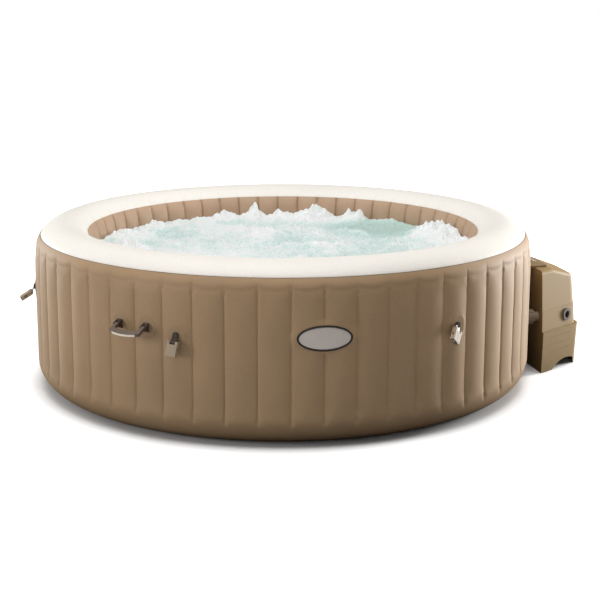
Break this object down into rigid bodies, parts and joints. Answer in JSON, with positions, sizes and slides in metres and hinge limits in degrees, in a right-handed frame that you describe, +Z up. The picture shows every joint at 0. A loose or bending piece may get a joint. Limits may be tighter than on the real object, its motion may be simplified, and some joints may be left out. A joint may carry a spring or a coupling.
{
  "type": "inflatable hot tub",
  "caption": "Round inflatable hot tub with a crowned rim, vertical air beams, carry handles, cover buckles and a control unit that heats, filters and blows the water.",
  "frame": {"origin": "on the tub's axis, on the ground under the bottom sheet", "axes": "+Z up along the tub's axis, +X towards the control unit's side, the front faces -Y"},
  "size_m": [2.4945, 2.1835, 0.7098],
  "materials": {
    "wall": "satin",
    "rim": "satin",
    "lining": "satin",
    "floor_sheet": "satin",
    "web": "satin",
    "badge_field": "satin",
    "badge_edge": "satin",
    "patch": "satin",
    "bracket": "satin",
    "bail": "satin",
    "strip": "satin",
    "pin": "satin",
    "socket": "satin",
    "link": "satin",
    "pipe": "satin",
    "seal": "satin",
    "white": "satin",
    "paper": "satin",
    "shell": "satin",
    "panel": "gloss",
    "glass": "gloss",
    "button": "satin",
    "dark": "satin",
    "motor": "satin",
    "steel": "satin"
  },
  "bodies": {
    "tub": {"outer_wall": "wall", "inner_wall": "lining", "top_panel": "rim", "bottom_sheet": "floor_sheet", "beam_webs": "web", "bubble_channel": "lining", "badge_plate": "badge_field", "badge_rim": "badge_edge", "handle_patches": "patch", "handle_brackets": "bracket", "handle_pins": "pin", "buckle_patches": "patch", "buckle_studs": "link", "ring_ports": "pipe", "port_seals": "seal", "pipe_stubs": "pipe", "union_nuts": "pipe", "return_grille": "white", "filter_pot": "white", "filter_cartridge": "paper", "drain_fitting": "pipe", "valve_body": "pipe", "unit_base": "shell", "unit_body": "shell", "unit_cover": "shell", "unit_tray": "shell", "control_panel": "panel", "panel_window": "glass", "hose_port": "dark", "cord_gland": "dark", "pump_motor": "motor", "water_heater": "steel", "air_blower": "motor", "circuit_box": "dark", "unit_hoses": "seal"},
    "handle_1": {"handle_bail_1": "bail", "handle_strip_1": "strip"},
    "handle_2": {"handle_bail_2": "bail", "handle_strip_2": "strip"},
    "buckle_1_link": {"buckle_link_1": "link"},
    "buckle_1_socket": {"buckle_socket_1": "socket"},
    "buckle_2_link": {"buckle_link_2": "link"},
    "buckle_2_socket": {"buckle_socket_2": "socket"},
    "buckle_3_link": {"buckle_link_3": "link"},
    "buckle_3_socket": {"buckle_socket_3": "socket"},
    "buckle_4_link": {"buckle_link_4": "link"},
    "buckle_4_socket": {"buckle_socket_4": "socket"},
    "buckle_5_link": {"buckle_link_5": "link"},
    "buckle_5_socket": {"buckle_socket_5": "socket"},
    "buckle_6_link": {"buckle_link_6": "link"},
    "buckle_6_socket": {"buckle_socket_6": "socket"},
    "button_1": {"button_1": "button"},
    "button_2": {"button_2": "button"},
    "button_3": {"button_3": "button"},
    "button_4": {"button_4": "button"},
    "valve_flap": {"valve_cap": "dark"},
    "drain_cap": {"drain_cap": "dark"},
    "filter_lid": {"filter_lid": "white"}
  },
  "joints": [
    {"name": "handle_1_swing", "type": "hinge", "parent": "tub", "child": "handle_1", "pos_m": [-0.57936, -0.93929, 0.445], "axis": [0.8511, -0.525, 0], "range_deg": [-60, 50]},
    {"name": "handle_2_swing", "type": "hinge", "parent": "tub", "child": "handle_2", "pos_m": [0.57936, 0.93929, 0.445], "axis": [-0.8511, 0.525, 0], "range_deg": [-60, 50]},
    {"name": "buckle_1_swivel", "type": "hinge", "parent": "tub", "child": "buckle_1_link", "pos_m": [-0.40007, -1.00704, 0.428], "axis": [-0.3692, -0.9293, 0], "range_deg": [-25, 25]},
    {"name": "buckle_1_flip", "type": "hinge", "parent": "buckle_1_link", "child": "buckle_1_socket", "pos_m": [-0.40934, -1.02316, 0.4027], "axis": [-0.9243, 0.3672, 0.1045], "range_deg": [-12, 40]},
    {"name": "buckle_2_swivel", "type": "hinge", "parent": "tub", "child": "buckle_2_link", "pos_m": [0.67209, -0.84999, 0.428], "axis": [0.6202, -0.7844, 0], "range_deg": [-25, 25]},
    {"name": "buckle_2_flip", "type": "hinge", "parent": "buckle_2_link", "child": "buckle_2_socket", "pos_m": [0.66914, -0.87577, 0.41033], "axis": [-0.5449, -0.4309, 0.7193], "range_deg": [-12, 40]},
    {"name": "buckle_3_swivel", "type": "hinge", "parent": "tub", "child": "buckle_3_link", "pos_m": [1.07216, 0.15705, 0.428], "axis": [0.9894, 0.1449, 0], "range_deg": [-25, 25]},
    {"name": "buckle_3_flip", "type": "hinge", "parent": "buckle_3_link", "child": "buckle_3_socket", "pos_m": [1.09036, 0.15971, 0.40256], "axis": [0.1449, -0.9894, 0], "range_deg": [-4, 4]},
    {"name": "buckle_4_swivel", "type": "hinge", "parent": "tub", "child": "buckle_4_link", "pos_m": [0.40007, 1.00704, 0.428], "axis": [0.3692, 0.9293, 0], "range_deg": [-25, 25]},
    {"name": "buckle_4_flip", "type": "hinge", "parent": "buckle_4_link", "child": "buckle_4_socket", "pos_m": [0.40521, 1.02479, 0.40262], "axis": [0.9271, -0.3683, -0.0698], "range_deg": [-8, 40]},
    {"name": "buckle_5_swivel", "type": "hinge", "parent": "tub", "child": "buckle_5_link", "pos_m": [-0.67209, 0.84999, 0.428], "axis": [-0.6202, 0.7844, 0], "range_deg": [-25, 25]},
    {"name": "buckle_5_flip", "type": "hinge", "parent": "buckle_5_link", "child": "buckle_5_socket", "pos_m": [-0.68176, 0.8658, 0.40265], "axis": [0.7814, 0.6179, 0.0872], "range_deg": [-4, 40]},
    {"name": "buckle_6_swivel", "type": "hinge", "parent": "tub", "child": "buckle_6_link", "pos_m": [-1.07216, -0.15705, 0.428], "axis": [-0.9894, -0.1449, 0], "range_deg": [-25, 25]},
    {"name": "buckle_6_flip", "type": "hinge", "parent": "buckle_6_link", "child": "buckle_6_socket", "pos_m": [-1.09036, -0.15971, 0.40256], "axis": [-0.1449, 0.9894, 0], "range_deg": [-50, 10]},
    {"name": "button_1_press", "type": "slide", "parent": "tub", "child": "button_1", "axis": [0, 0, -1], "range_m": [0, 0.0015], "stiffness_N_per_m": 400},
    {"name": "button_2_press", "type": "slide", "parent": "tub", "child": "button_2", "axis": [0, 0, -1], "range_m": [0, 0.0015], "stiffness_N_per_m": 400},
    {"name": "button_3_press", "type": "slide", "parent": "tub", "child": "button_3", "axis": [0, 0, -1], "range_m": [0, 0.0015], "stiffness_N_per_m": 400},
    {"name": "button_4_press", "type": "slide", "parent": "tub", "child": "button_4", "axis": [0, 0, -1], "range_m": [0, 0.0015], "stiffness_N_per_m": 400},
    {"name": "valve_flap_hinge", "type": "hinge", "parent": "tub", "child": "valve_flap", "pos_m": [0.89697, 0.62807, 0.462], "axis": [0.5736, -0.8192, 0], "range_deg": [0, 85]},
    {"name": "drain_cap_off", "type": "slide", "parent": "tub", "child": "drain_cap", "axis": [-0.0872, 0.9962, 0], "range_m": [0, 0.03]},
    {"name": "filter_lid_off", "type": "slide", "parent": "tub", "child": "filter_lid", "axis": [0, 0, 1], "range_m": [0, 0.08]}
  ]
}
